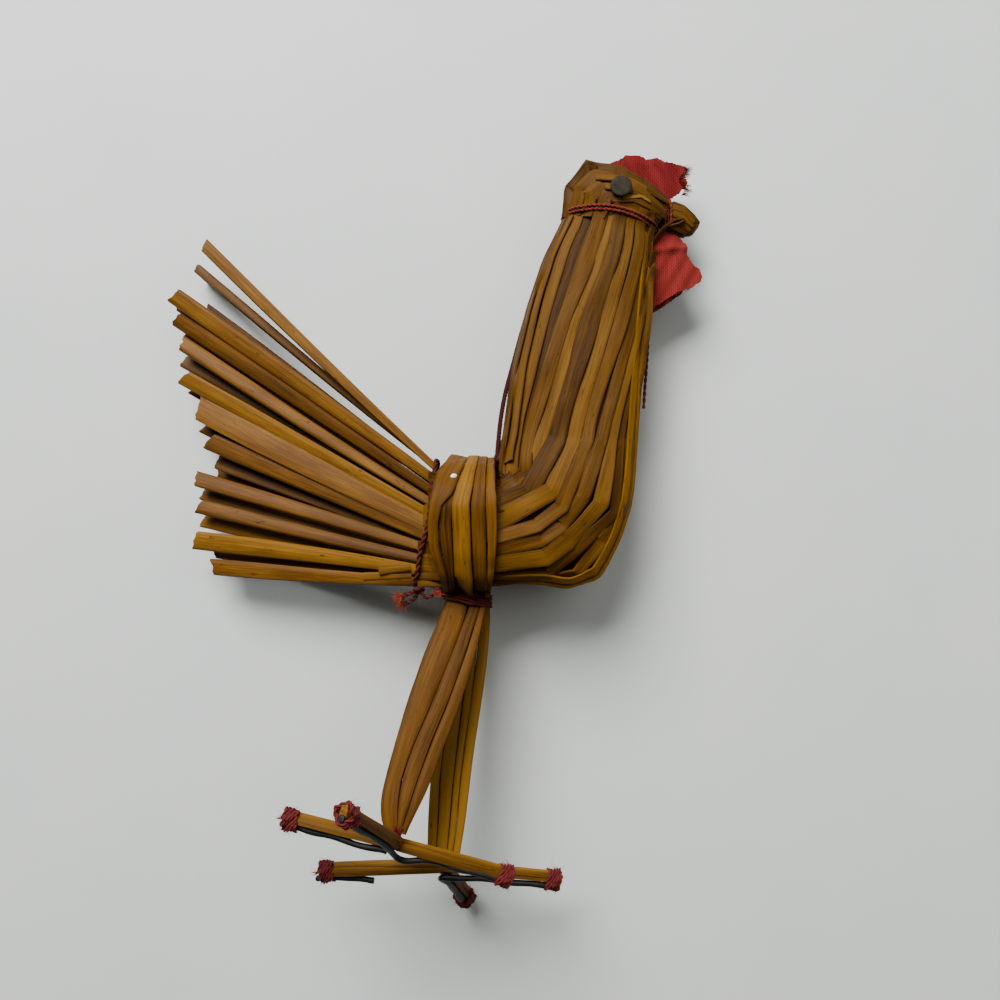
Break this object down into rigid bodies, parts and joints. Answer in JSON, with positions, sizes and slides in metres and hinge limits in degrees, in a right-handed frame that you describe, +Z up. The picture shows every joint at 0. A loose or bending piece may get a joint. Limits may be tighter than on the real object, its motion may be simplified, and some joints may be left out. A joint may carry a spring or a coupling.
{
  "type": "straw rooster ornament",
  "caption": "Small rooster made of folded straw, lying on its side, with a fanned tail of hollow straws, red cloth comb and wattle, thread bindings and wire-backed feet.",
  "frame": {"origin": "on the floor, on the flat of the saddle straps that the left flank lies on", "axes": "+X towards the beak, +Y from the feet to the top of the head, +Z up through the bird's right flank as it lies"},
  "size_m": [0.0954, 0.1366, 0.0442],
  "materials": {
    "sheaf_straw": "satin golden-brown flattened straw",
    "leg_straw": "satin golden-brown flattened straw",
    "tail_straw": "satin golden-brown round straw",
    "red_cloth": "matte plain-woven cotton",
    "red_thread": "matte twisted thread",
    "dark_thread": "matte twisted thread",
    "black_iron": "dark annealed iron wire",
    "eye_disc": "dark satin disc"
  },
  "bodies": {
    "root": {"neck_head_and_body": "sheaf_straw", "straw_stub": "sheaf_straw", "saddle_and_legs": "leg_straw", "right_front_toe": "leg_straw", "right_front_toe_tie": "red_thread", "right_back_toe": "leg_straw", "right_back_toe_tie": "red_thread", "right_outer_toe": "leg_straw", "right_outer_toe_tie": "red_thread", "right_front_wire": "black_iron", "right_back_wire": "black_iron", "right_eye": "eye_disc", "left_front_toe": "leg_straw", "left_front_toe_tie": "red_thread", "left_back_toe": "leg_straw", "left_back_toe_tie": "red_thread", "left_outer_toe": "leg_straw", "left_outer_toe_tie": "red_thread", "left_front_wire": "black_iron", "left_back_wire": "black_iron", "left_eye": "eye_disc", "tail_straw_01": "tail_straw", "tail_straw_02": "tail_straw", "tail_straw_03": "tail_straw", "tail_straw_04": "tail_straw", "tail_straw_05": "tail_straw", "tail_straw_06": "tail_straw", "tail_straw_07": "tail_straw", "tail_straw_08": "tail_straw", "tail_straw_09": "tail_straw", "tail_straw_10": "tail_straw", "tail_straw_11": "tail_straw", "tail_straw_12": "tail_straw", "tail_straw_13": "tail_straw", "tail_straw_14": "tail_straw", "tail_straw_15": "tail_straw", "tail_straw_16": "tail_straw", "tail_straw_17": "tail_straw", "tail_straw_18": "tail_straw", "tail_straw_19": "tail_straw", "tail_straw_20": "tail_straw", "tail_straw_21": "tail_straw", "tail_straw_22": "tail_straw", "tail_straw_23": "tail_straw", "tail_straw_24": "tail_straw", "tail_straw_25": "tail_straw", "tail_straw_26": "tail_straw", "tail_straw_27": "tail_straw", "tail_straw_28": "tail_straw", "tail_straw_29": "tail_straw", "tail_straw_30": "tail_straw", "head_thread": "red_thread", "beak_thread": "red_thread", "tail_yarn": "red_thread", "waist_thread": "dark_thread", "nape_cord": "dark_thread", "comb": "red_cloth", "wattle": "red_cloth"}
  },
  "joints": []
}
